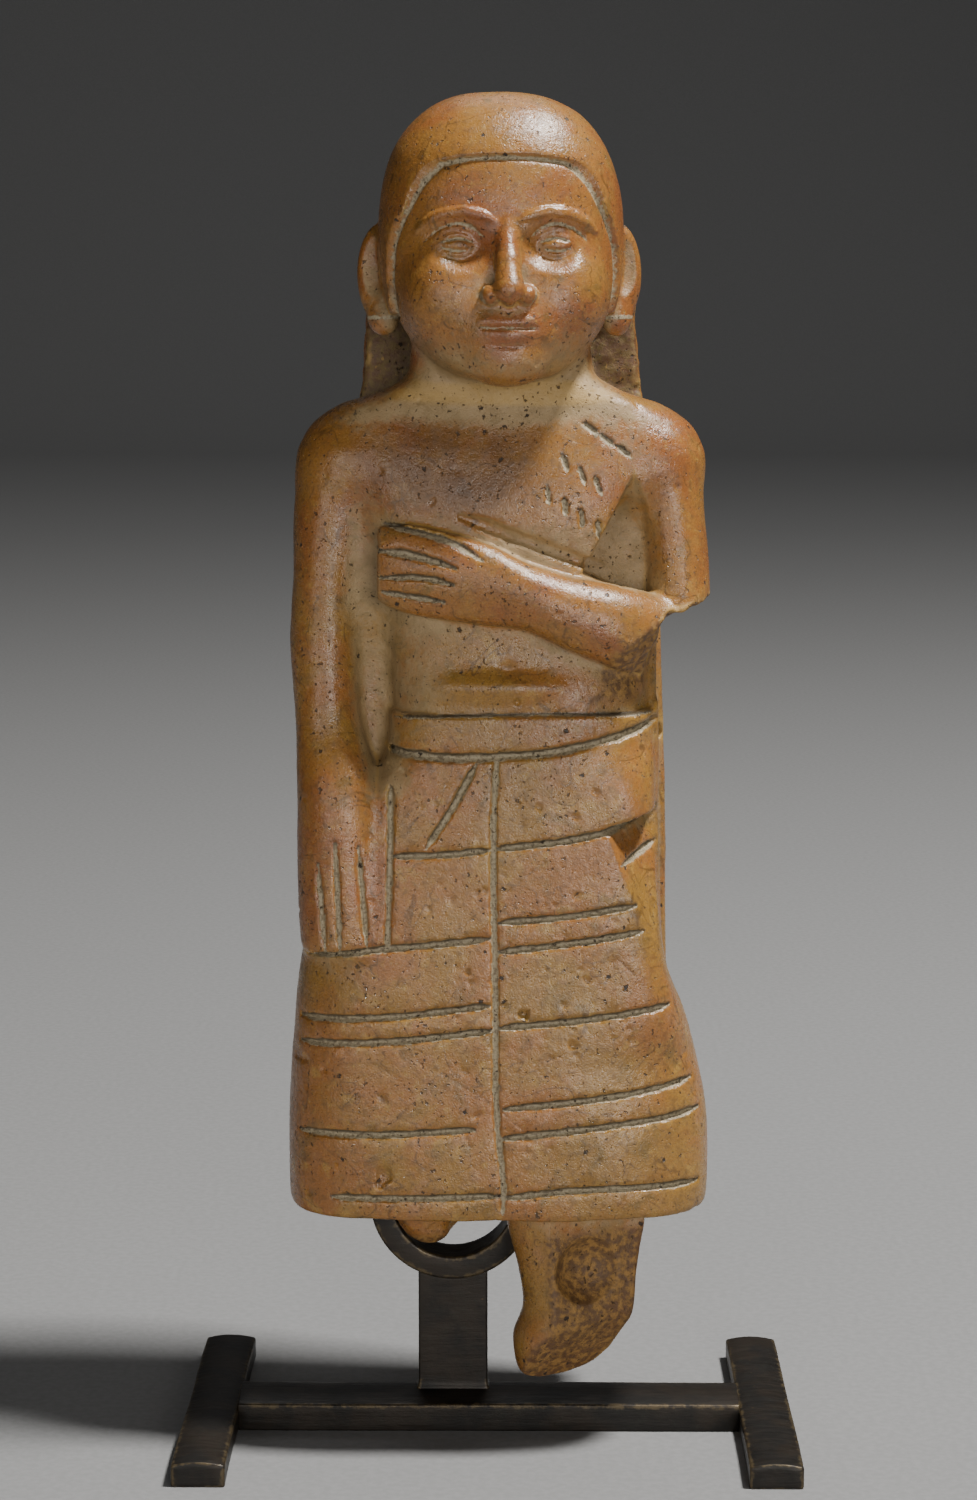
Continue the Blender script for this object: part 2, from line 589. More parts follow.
def face_chart():
    """Lids, brows and the parting of the lips, seen from the front of the head."""
    chart = Chart((-12, -1), (12, 27), 0.08, 6)
    for side in (-1, 1):
        def spot(u, w):
            return [side * (EYE["x"] + u), EYE["w"] + w]
        upper = [spot(-2.3, -0.15), spot(-1.3, 0.72), spot(0, 1.08), spot(1.4, 0.72), spot(2.6, -0.1)]
        lower = [spot(-2.3, -0.2), spot(-1.1, -0.82), spot(0.2, -1.0), spot(1.5, -0.66), spot(2.6, -0.15)]
        fold = [spot(-2.2, 0.7), spot(-1.2, 1.55), spot(0.1, 1.9), spot(1.6, 1.5), spot(3.0, 0.4)]
        brow = [spot(-3.3, 2.1), spot(-1.6, 2.75), spot(0.2, 2.95), spot(2.2, 2.5), spot(3.9, 1.3)]
        chart.stroke(upper, 0.95, -0.42, 0.8, 0.4, rough=0.06)
        chart.stroke(lower, 0.8, -0.32, 0.8, 0.4, rough=0.06)
        chart.stroke([[p[0], p[1] - 0.5] for p in upper[1:4]], 0.42, 0.34, 0.8, 0.3, rough=0.1)
        chart.stroke([[p[0], p[1] + 0.42] for p in lower[1:4]], 0.38, 0.26, 0.8, 0.3, rough=0.1)
        chart.stroke(fold, 0.5, 0.26, 1.2, 0.3, 0.8, rough=0.1)
        chart.stroke(brow, 1.15, -0.4, 1.4, 0.5, rough=0.05)
        chart.stroke([[side * 1.9, 6.6], [side * 2.5, 7.5], [side * 2.2, 8.4]], 0.4, 0.14, 0.8, 0.2, 0.8, rough=0.1)
    parting = [[-2.9, 4.75], [-1.5, 4.62], [-0.6, 4.72], [0, 4.6], [0.6, 4.72], [1.5, 4.62], [2.9, 4.75]]
    chart.stroke(parting, 0.4, 0.26, 0.9, 0.2, 0.8, rough=0.1)
    chart.stroke([[0, 6.4], [0, 5.6]], 0.8, 0.14, 0.3, 0.1, 0.0, rough=0.1)
    chart.stroke([[-1.5, 3.1], [0, 2.95], [1.5, 3.1]], 0.8, 0.12, 0.6, 0.1, 0.0, rough=0.1)
    chart.scatter_pits(70, (-9, 1), (9, 25), (0.07, 0.24))
    return chart


BODY_CHART = body_chart()
FACE_CHART = face_chart()


# Parts of the figure

def slab_field(x, y, h):
    outline = convex_outline(x, h, SLAB_CORNERS, 0.8)
    return smooth_max(outline, np.maximum(SLAB_FRONT - y, y - SLAB_REAR), 0.9)


def web_field(x, y, h):
    outline = convex_outline(x, h, WEB_CORNERS, 0.8)
    rise, low, high = WEB_RISE
    front = WEB_FRONT - rise * fade(h, low, high) * fade(x, 4, -4)
    return smooth_max(outline, np.maximum(front - y, y - BODY_BACK), 0.8)


def ridge_field(x, y, h):
    """What the flat side behind the ridge at the figure's left front corner of the kilt has taken away."""
    top, low, back = (np.array(p) for p in RIDGE)
    normal = np.cross(low - top, back - top)
    normal *= math.copysign(1 / np.linalg.norm(normal), normal[0])
    beyond = (x - top[0]) * normal[0] + (y - top[1]) * normal[1] + (h - top[2]) * normal[2]
    return smooth_max(-beyond, half_plane(x, h, *RIDGE_TOP), 0.3)


def kilt_field(x, y, h):
    low, full, still, high = CORNER_ZONE
    boxy = fade(h, low, full) * fade(h, high, still) * fade(x, 0, 3) * (y < 0)
    field = upright_body(x, y, h, RUNS["kilt"], KILT_POWER + (CORNER_POWER - KILT_POWER) * boxy)
    field = smooth_max(field, h - KILT[-1][0], 0.5)
    return smooth_max(field, -ridge_field(x, y, h), 0.3)


def torso_field(x, y, h):
    field = upright_body(x, y, h, RUNS["torso"], TORSO_POWER)
    field = smooth_max(field, np.maximum(TORSO[0][0] - h, h - TORSO[-1][0]), 0.5)
    hollow = np.maximum(convex_outline(x, h, ARMPIT_CORNERS, 0.3), y - ARMPIT_FLOOR)
    field = smooth_max(field, -hollow, 0.3)
    field = smooth_min(field, ellipsoid(x, y, h, *BELLY_FOLD), 0.8)
    return smooth_max(field, -ellipsoid(x, y, h, *NAVEL), 0.5)


def elbow_break(x, y, h):
    """What is missing below and outside the bent elbow."""
    under = half_plane(x, h, *ELBOW_UNDER)
    outside = half_plane(x, h, *ELBOW_OUTSIDE)
    rough = 0.35 * NOISE.at(x, y, h, 1.7) + 0.14 * NOISE.at(x, y, h, 0.7)
    below = smooth_max(under, outside, 0.8)
    point, normal = ELBOW_CUT
    slant = -sum((p - q) * n for p, q, n in zip((x, y, h), point, normal))
    return smooth_min(below, slant, 0.3) + rough


def leg_breaks(x, y, h):
    """A shell-shaped scoop and three flatter fractures on the front and outside of the leg."""
    rough = 0.14 * NOISE.at(x, y, h, 1.9) + 0.05 * NOISE.at(x, y, h, 0.7)
    parts = [ellipsoid(x, y, h, *LEG_SCOOP) + 0.5 * rough]
    for point, normal in LEG_CUTS:
        beyond = sum((p - q) * n for p, q, n in zip((x, y, h), point, normal))
        parts.append(-beyond + rough)
    return parts


def head_axes(x, y, h):
    """Head coordinates: across, front to back, and up from the chin."""
    turn, tilt = math.radians(TURN), math.radians(TILT_BACK)
    dx, dy, dz = x - CHIN_AT[0], y - CHIN_AT[1], h - CHIN_AT[2]
    u = dx * math.cos(turn) + dy * math.sin(turn)
    v = -dx * math.sin(turn) + dy * math.cos(turn)
    return u, v * math.cos(tilt) - dz * math.sin(tilt), v * math.sin(tilt) + dz * math.cos(tilt)


def hairline(u, v, w):
    """Negative where the close-cropped hair covers the head, in millimetres from its edge."""
    side = np.abs(u)
    arch = np.interp(side, *zip(*HAIR_ARCH)).astype(np.float32)
    forehead = arch - w
    temple = np.maximum(np.interp(w, *zip(*SIDEBURN)).astype(np.float32) - v, SIDEBURN_LOW - w)
    return np.minimum(forehead, temple)


def jaw_field(u, v, w):
    half, front, back, slack = RUNS["skull"].at(w)
    field = section(u, v - (front + back) / 2, half, (back - front) / 2, SKULL_POWER) * slack
    return smooth_max(field, SKULL[0][0] - w, 0.8)


def dome_field(u, v, w):
    level = (np.abs(u / DOME["half"]) ** SKULL_POWER
             + np.abs((v - DOME["middle"]) / DOME["deep"]) ** SKULL_POWER) ** (1 / SKULL_POWER)
    rise = np.abs(w - DOME["from"]) / DOME["high"]
    reach = np.maximum((level ** DOME["power"] + rise ** DOME["power"]) ** (1 / DOME["power"]), 1e-3)
    away = np.sqrt(u * u + (v - DOME["middle"]) ** 2 + (w - DOME["from"]) ** 2)
    return away * (1 - 1 / reach)


def head_field(x, y, h):
    u, v, w = head_axes(x, y, h)
    side = np.abs(u)
    field = np.where(w > DOME["from"], dome_field(u, v, w), jaw_field(u, v, w))
    for part, blend in FACE_MASSES:
        field = smooth_min(field, ellipsoid(side, v, w, *part), blend)
    for part, blend in FACE_HOLLOWS:
        field = smooth_max(field, -ellipsoid(side, v, w, *part), blend)
    for part, blend in FACE_DETAILS:
        field = smooth_min(field, ellipsoid(side, v, w, *part), blend)
    for start, end, wide, narrow in NOSE:
        field = smooth_min(field, capsule(u, v, w, start, end, wide, narrow), 0.55)
    field = smooth_min(field, ellipsoid(side, v, w, *NOSE_WING), 0.3)
    field = smooth_max(field, -ellipsoid(side, v, w, *NOSTRIL), 0.15)
    field += FACE_CHART.read(u, w, FACE_CHART.depth) * np.clip(-3 - v, 0, 1)
    edge = hairline(u, v, w)
    field -= 0.42 * fade(edge, 0.12, -0.16)
    field += 0.26 * np.exp(-(((edge - 0.28) / 0.2) ** 2))
    return smooth_min(field, ear_field(side, v, w), 0.35)


def ear_field(side, v, w):
    swing = math.radians(EAR["swing"])
    da, db = side - EAR["at"][0], v - EAR["at"][1]
    out = da * math.cos(swing) + db * math.sin(swing)
    thick = -da * math.sin(swing) + db * math.cos(swing)
    up = w - EAR["at"][2]
    shell = ellipsoid(out, thick, up, (0, 0, 0), EAR["halves"])
    lobe = ellipsoid(out, thick, up, *EAR["lobe"])
    field = smooth_min(shell, lobe, 0.8)
    hollow = ellipsoid(out, thick, up, *EAR["hollow"])
    field = smooth_max(field, -hollow, 0.3)
    return smooth_min(field, ellipsoid(out, thick, up, *EAR["fold"]), 0.3)


def cradle_field(x, y, h):
    """The bar of the cradle, with the air left around it."""
    reach = np.hypot(x + AXIS_X - POST["x"], h + HEM_Z - CRADLE["centre_z"])
    ring = np.maximum(reach - CRADLE["outer"], CRADLE["inner"] - reach)
    ring = np.maximum(ring, h + HEM_Z - CRADLE["tip_z"])
    return np.maximum(ring, np.maximum(CRADLE["near"] - y, y - CRADLE["far"])) - CLEARANCE


def stone_field(x, y, h):
    torso = torso_field(x, y, h)
    field = smooth_min(kilt_field(x, y, h), torso, 0.35)
    field = smooth_min(field, web_field(x, y, h), 1.4)
    slab = slab_field(x, y, h)
    rubbed = fade(h, 70, 74) * fade(y, 3.6, 5.0) * fade(y, 8.5, 7.0)
    slab += rubbed * (0.22 * NOISE.at(x, y, h, 1.6) + 0.12 * NOISE.at(x, y, h, 0.6))
    field = smooth_min(field, slab, 0.5)
    for side in (-1, 1):
        field = smooth_min(field, ellipsoid(x * side, y, h, *SHOULDER), 1.5)
    hanging = upright_limb(x, y, h, RUNS["hanging_arm"], 24.8, 71.5)
    upper = upright_limb(x, y, h, RUNS["upper_arm"], 48.0, 71.5)
    fore = level_limb(x, y, h, RUNS["forearm"], -11.3, 17.5, 0.7)
    bent = smooth_min(upper, fore, 0.8)
    bent = smooth_max(bent, -elbow_break(x, y, h), 0.25)
    field = smooth_min(field, hanging, 1.0)
    field = smooth_min(field, bent, 0.6)
    front = upright_limb(x, y, h, RUNS["front_leg"], -16.9, 3, 0.8)
    for gone in leg_breaks(x, y, h):
        front = smooth_max(front, -gone, 0.2)
    rear = upright_limb(x, y, h, RUNS["rear_stump"], -4.9, 3, 1.2) + 0.3 * NOISE.at(x, y, h, 1.5) * (h < 0)
    legs = smooth_min(front, rear, 0.4)
    field = smooth_max(field, -h, 0.6)
    field = smooth_min(field, legs, 0.9)
    field = smooth_min(field, head_field(x, y, h), 0.8)
    field += BODY_CHART.read(x, h, BODY_CHART.depth) * np.clip((-1.5 - y) / 2, 0, 1) * (h < 77)
    field += 0.09 * NOISE.at(x, y, h, 5.5) + 0.035 * NOISE.at(x + 7, y, h, 1.8)
    for x0, y0, h0, radius in CHIPS:
        away = np.sqrt((x - x0) ** 2 + (y - y0) ** 2 + (h - h0) ** 2)
        field = smooth_max(field, radius - away + 0.25 * NOISE.at(x, y, h, 0.9), 0.15)
    return np.maximum(field, -cradle_field(x, y, h))


# Sampling the field on a grid, finely near the surface only

def sampled_field(field, low, high, coarse, steps):
    size = [int(round((b - a) / coarse)) for a, b in zip(low, high)]
    nodes = [np.float32(a) + np.arange(n + 1, dtype=np.float32) * coarse for a, n in zip(low, size)]
    gx, gy, gz = np.meshgrid(*nodes, indexing="ij")
    rough = field(gx.ravel(), gy.ravel(), gz.ravel()).reshape(gx.shape).astype(np.float32)
    inside = rough < 0
    any_in = np.zeros(size, bool)
    all_in = np.ones(size, bool)
    for i, j, k in CORNERS:
        corner = inside[i:size[0] + i, j:size[1] + j, k:size[2] + k]
        any_in |= corner
        all_in &= corner
    active = any_in & ~all_in
    for axis in range(3):
        spread = active.copy()
        ahead = tuple(slice(1, None) if n == axis else slice(None) for n in range(3))
        behind = tuple(slice(None, -1) if n == axis else slice(None) for n in range(3))
        spread[ahead] |= active[behind]
        spread[behind] |= active[ahead]
        active = spread
    fine = rough[:-1, :-1, :-1].repeat(steps, 0).repeat(steps, 1).repeat(steps, 2)
    cells = np.argwhere(active).astype(np.int32)
    offsets = np.stack(np.meshgrid(*[np.arange(steps, dtype=np.int32)] * 3, indexing="ij"), -1).reshape(-1, 3)
    pitch = np.float32(coarse / steps)
    batch = max(1, BATCH // len(offsets))
    for start in range(0, len(cells), batch):
        index = (cells[start:start + batch, None, :] * steps + offsets[None]).reshape(-1, 3)
        place = index.astype(np.float32) * pitch + np.array(low, np.float32)
        fine[index[:, 0], index[:, 1], index[:, 2]] = field(place[:, 0], place[:, 1], place[:, 2])
    return fine, pitch


CORNERS = [(i, j, k) for i in (0, 1) for j in (0, 1) for k in (0, 1)]
BATCH = 1200000


def surface_net(values, pitch, low):
    """Vertices and quads of the zero surface of a grid of values."""
    inside = values < 0
    nx, ny, nz = (n - 1 for n in values.shape)
    total = np.zeros((nx, ny, nz), np.uint8)
    for i, j, k in CORNERS:
        total += inside[i:nx + i, j:ny + j, k:nz + k]
    mixed = np.argwhere((total > 0) & (total < 8)).astype(np.int32)
    number = np.full((nx, ny, nz), -1, np.int32)
    number[mixed[:, 0], mixed[:, 1], mixed[:, 2]] = np.arange(len(mixed), dtype=np.int32)
    at_corner = {c: values[mixed[:, 0] + c[0], mixed[:, 1] + c[1], mixed[:, 2] + c[2]] for c in CORNERS}
    place = np.zeros((len(mixed), 3), np.float32)
    hits = np.zeros(len(mixed), np.float32)
    for a in CORNERS:
        for axis in range(3):
            if a[axis] == 1:
                continue
            b = tuple(1 if n == axis else a[n] for n in range(3))
            va, vb = at_corner[a], at_corner[b]
            crosses = (va < 0) != (vb < 0)
            t = np.where(crosses, va / np.where(crosses, va - vb, 1), 0)
            for n in range(3):
                place[:, n] += np.where(crosses, a[n] + (t if n == axis else 0), 0)
            hits += crosses
    place /= hits[:, None]
    vertices = (mixed + place) * pitch + np.array(low, np.float32)
    quads = []
    for axis in range(3):
        other = [n for n in range(3) if n != axis]
        first = tuple(slice(None, -1) if n == axis else slice(1, -1) for n in range(3))
        second = tuple(slice(1, None) if n == axis else slice(1, -1) for n in range(3))
        enters, leaves = inside[first], inside[second]
        change = np.argwhere(enters != leaves)
        node = change.copy()
        node[:, other] += 1
        ring = []
        for step in ((0, 0), (-1, 0), (-1, -1), (0, -1)):
            cell = node.copy()
            cell[:, other] += step
            ring.append(number[cell[:, 0], cell[:, 1], cell[:, 2]])
        quad = np.stack(ring, 1)
        outward = enters[change[:, 0], change[:, 1], change[:, 2]]
        if axis == 1:
            outward = ~outward
        quads.append(np.where(outward[:, None], quad, quad[:, ::-1]))
    return vertices, np.concatenate(quads)


def add_object(name, mesh):
    piece = bpy.data.objects.new(name, mesh)
    bpy.context.scene.collection.objects.link(piece)
    return piece


def mesh_from_quads(name, vertices, quads):
    mesh = bpy.data.meshes.new(name)
    mesh.vertices.add(len(vertices))
    mesh.vertices.foreach_set("co", np.ascontiguousarray(vertices, np.float32).ravel())
    mesh.loops.add(quads.size)
    mesh.loops.foreach_set("vertex_index", np.ascontiguousarray(quads, np.int32).ravel())
    mesh.polygons.add(len(quads))
    mesh.polygons.foreach_set("loop_start", np.arange(0, quads.size, 4, dtype=np.int32))
    mesh.update(calc_edges=True)
    return mesh


def thinned(piece, triangles):
    """The piece's mesh brought down to the allowed number of triangles."""
    if triangles <= MOST_TRIANGLES:
        return
    thin = piece.modifiers.new("thin", "DECIMATE")
    thin.ratio = MOST_TRIANGLES / triangles
    seen = piece.evaluated_get(bpy.context.evaluated_depsgraph_get())
    slim = bpy.data.meshes.new_from_object(seen)
    piece.modifiers.clear()
    piece.data = slim


def add_attribute(mesh, name, values):
    layer = mesh.attributes.new(name, "FLOAT", "POINT")
    layer.data.foreach_set("value", np.clip(values, 0, 1).astype(np.float32))


def ellipse_reach(x, h, x0, h0, half_x, half_h):
    return np.sqrt(((x - x0) / half_x) ** 2 + ((h - h0) / half_h) ** 2)


def mark_surface(mesh):
    """Marks, for the stone's colours, where it is cut, hollow, sharp, broken, ruddy or dirty."""
    count = len(mesh.vertices)
    spots = np.empty(count * 3, np.float32)
    mesh.vertices.foreach_get("co", spots)
    normals = np.empty(count * 3, np.float32)
    mesh.vertex_normals.foreach_get("vector", normals)
    spots = spots.reshape(-1, 3) / MM - np.array((AXIS_X, 0, HEM_Z), np.float32)
    normals = normals.reshape(-1, 3)

    def field_off(distance):
        return stone_field(*(spots + normals * distance).T.astype(np.float32))

    x, y, h = spots.T.astype(np.float32)
    u, v, w = head_axes(x, y, h)
    front = np.clip((-1.5 - y) / 2, 0, 1) * (h < 77)
    cut = BODY_CHART.read(x, h + 0.06, BODY_CHART.filled) * front
    shade = (BODY_CHART.read(x, h, BODY_CHART.filled) - BODY_CHART.read(x, h + 0.24, BODY_CHART.filled)) * front
    add_attribute(mesh, "grime", 1.4 * shade)
    face_cut = FACE_CHART.read(u, w, FACE_CHART.filled) * np.clip(-3 - v, 0, 1) * (h > 77)
    edge = hairline(u, v, w)
    hair_cut = np.exp(-(((edge - 0.26) / 0.26) ** 2)) * (h > 78) * (w > 6) * (v < 2)
    add_attribute(mesh, "cut", np.maximum(np.maximum(cut, face_cut), hair_cut))
    near = 1 - field_off(0.9) / 0.9
    wide = 1 - field_off(3.2) / 3.2
    add_attribute(mesh, "hollow", 0.4 * np.clip(near, 0, 1) + 0.75 * np.clip(wide, 0, 1))
    add_attribute(mesh, "sharp", 1.6 * (1 + field_off(-0.7) / 0.7))
    film = np.max([spread * fade(ellipse_reach(x, h, *zone), 1.0, 0.2) for zone, spread in FILM_ZONES], axis=0)
    raised = np.maximum(fade(y, -7.6, -8.6) * (h > 52) * (h < 66), fade(y, -6.0, -7.5) * (h > 75))
    add_attribute(mesh, "film", film * fade(y, 8, 5) * (1 - raised))
    add_attribute(mesh, "dusk", fade(ellipse_reach(x, h, *DUSK_ZONE), 1.1, 0.3) * fade(y, -3, -4.5))
    elbow = fade(np.abs(elbow_break(x, y, h)), 0.5, 0.15) * (x > 8) * (h > 47) * (h < 59.5) * (y < 2)
    under = fade(half_plane(x, h, *ELBOW_SHADE), 0.3, -0.3) * fade(ellipse_reach(x, h, 12.6, 52.4, 4.2, 4.6), 1.0, 0.8)
    elbow = np.maximum(elbow, under * fade(y, -4, -6))
    legs = np.max([fade(np.abs(gone), 0.45, 0.15) for gone in leg_breaks(x, y, h)], axis=0)
    legs *= fade(h, -1.5, -2.5) * (x > 1) * (y < -3)
    ends = fade(h, -16.2, -16.8) + fade(h, -3.4, -4.4) * (x < 0)
    add_attribute(mesh, "broken", np.maximum(np.maximum(elbow, legs), ends))
    add_attribute(mesh, "rubbed", fade(h, 70, 74) * fade(y, 3.6, 5.0) * fade(y, 8.5, 7.0) * (normals[:, 1] < -0.4))
    face = fade(h, 76, 79) * (1 - 0.3 * fade(h, 95, 101))
    fore = fade(level_limb(x, y, h, RUNS["forearm"], -11.3, 17.5), 1.0, 0.3) * fade(y, -5, -7)
    chest = fade(h, 58, 63) * fade(h, 77, 74) * 0.8
    hand = fade(x, -9.4, -10.6) * fade(h, 46, 41) * fade(h, 22, 27) * 0.7
    add_attribute(mesh, "ruddy", np.maximum(np.maximum(face, fore), np.maximum(chest, hand)))


def make_figure():
    values, pitch = sampled_field(stone_field, FIELD_LOW, FIELD_HIGH, COARSE, FINE_STEPS)
    vertices, quads = surface_net(values, pitch, FIELD_LOW)
    placed = (vertices + np.array((AXIS_X, 0, HEM_Z), np.float32)) * MM
    piece = add_object("carved_figure", mesh_from_quads("carved_figure", placed, quads))
    thinned(piece, 2 * len(quads))
    piece.data.shade_smooth()
    mark_surface(piece.data)
    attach(piece, BODY)
    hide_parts("figure")
    return piece


# Materials

class Shades:
    """The nodes of one material, over coordinates in millimetres."""

    def __init__(self, name, surface):
        self.material = bpy.data.materials.new(name)
        self.material.use_nodes = True
        self.tree = self.material.node_tree
        self.tree.nodes.clear()
        output = self.tree.nodes.new("ShaderNodeOutputMaterial")
        self.surface = self.tree.nodes.new("ShaderNodeBsdfPrincipled")
        self.tree.links.new(self.surface.outputs[0], output.inputs[0])
        for socket, value in surface.items():
            self.surface.inputs[socket].default_value = value
        place = self.tree.nodes.new("ShaderNodeTexCoord")
        self.place = self.vector("MULTIPLY", place.outputs["Object"], (1000, 1000, 1000))

    def put(self, socket, value):
        if isinstance(value, bpy.types.NodeSocket):
            self.tree.links.new(value, socket)
        elif value is not None:
            socket.default_value = value

    def vector(self, operation, a, b):
        node = self.tree.nodes.new("ShaderNodeVectorMath")
        node.operation = operation
        self.put(node.inputs[0], a)
        self.put(node.inputs[1], b)
        return node.outputs[0]

    def math(self, operation, a, b=None):
        node = self.tree.nodes.new("ShaderNodeMath")
        node.operation = operation
        self.put(node.inputs[0], a)
        self.put(node.inputs[1], b)
        return node.outputs[0]

    def noise(self, size, detail=3.0, roughness=0.55, shift=0.0, twist=0.0, squash=(1, 1, 1)):
        """Clouds whose patches are about size millimetres wide."""
        place = self.vector("MULTIPLY_ADD", self.place, squash)
        self.put(place.node.inputs[2], (shift, shift * 0.7, -shift))
        node = self.tree.nodes.new("ShaderNodeTexNoise")
        self.put(node.inputs["Vector"], place)
        self.put(node.inputs["Scale"], 1 / size)
        self.put(node.inputs["Detail"], detail)
        self.put(node.inputs["Roughness"], roughness)
        self.put(node.inputs["Distortion"], twist)
        return node.outputs[0]

    def spots(self, size, shift=0.0):
        """Distance to scattered points, and a random value of the nearest one."""
        place = self.vector("ADD", self.place, (shift, -shift, shift * 0.6))
        node = self.tree.nodes.new("ShaderNodeTexVoronoi")
        self.put(node.inputs["Vector"], place)
        self.put(node.inputs["Scale"], 1 / size)
        pick = self.tree.nodes.new("ShaderNodeSeparateColor")
        self.put(pick.inputs[0], node.outputs["Color"])
        return node.outputs["Distance"], pick.outputs[0]

    def ramp(self, value, low, high, bottom=0.0, top=1.0):
        node = self.tree.nodes.new("ShaderNodeMapRange")
        node.interpolation_type = "SMOOTHSTEP"
        for socket, number in zip(node.inputs[:5], (value, low, high, bottom, top)):
            self.put(socket, number)
        return node.outputs[0]

    def mark(self, name):
        node = self.tree.nodes.new("ShaderNodeAttribute")
        node.attribute_name = name
        return node.outputs["Fac"]

    def mix(self, amount, a, b, blend="MIX"):
        node = self.tree.nodes.new("ShaderNodeMix")
        node.data_type = "RGBA"
        node.blend_type = blend
        self.put(node.inputs[0], amount)
        for socket, colour in ((node.inputs[6], a), (node.inputs[7], b)):
            self.put(socket, (*colour, 1) if isinstance(colour, tuple) else colour)
        return node.outputs[2]

    def product(self, *values):
        result = values[0]
        for value in values[1:]:
            result = self.math("MULTIPLY", result, value)
        return result

    def sum(self, *values):
        result = values[0]
        for value in values[1:]:
            result = self.math("ADD", result, value)
        return result

    def bump(self, height, distance, normal=None):
        node = self.tree.nodes.new("ShaderNodeBump")
        self.put(node.inputs["Strength"], 1.0)
        self.put(node.inputs["Distance"], distance * MM)
        self.put(node.inputs["Height"], height)
        self.put(node.inputs["Normal"], normal)
        return node.outputs[0]


STONE = {
    "ochre": (0.30, 0.158, 0.036),
    "orange": (0.31, 0.128, 0.032),
    "pink": (0.35, 0.175, 0.085),
    "olive": (0.135, 0.092, 0.028),
    "yellow": (0.43, 0.260, 0.065),
    "red": (0.25, 0.080, 0.026),
    "speck": (0.028, 0.016, 0.008),
    "brown": (0.085, 0.045, 0.016),
    "film": (0.33, 0.235, 0.115),
    "deposit": (0.36, 0.30, 0.19),
    "crumb": (0.15, 0.115, 0.065),
    "dirt": (0.045, 0.032, 0.016),
    "break": (0.080, 0.036, 0.012),
    "dusk": (0.090, 0.042, 0.016),
}


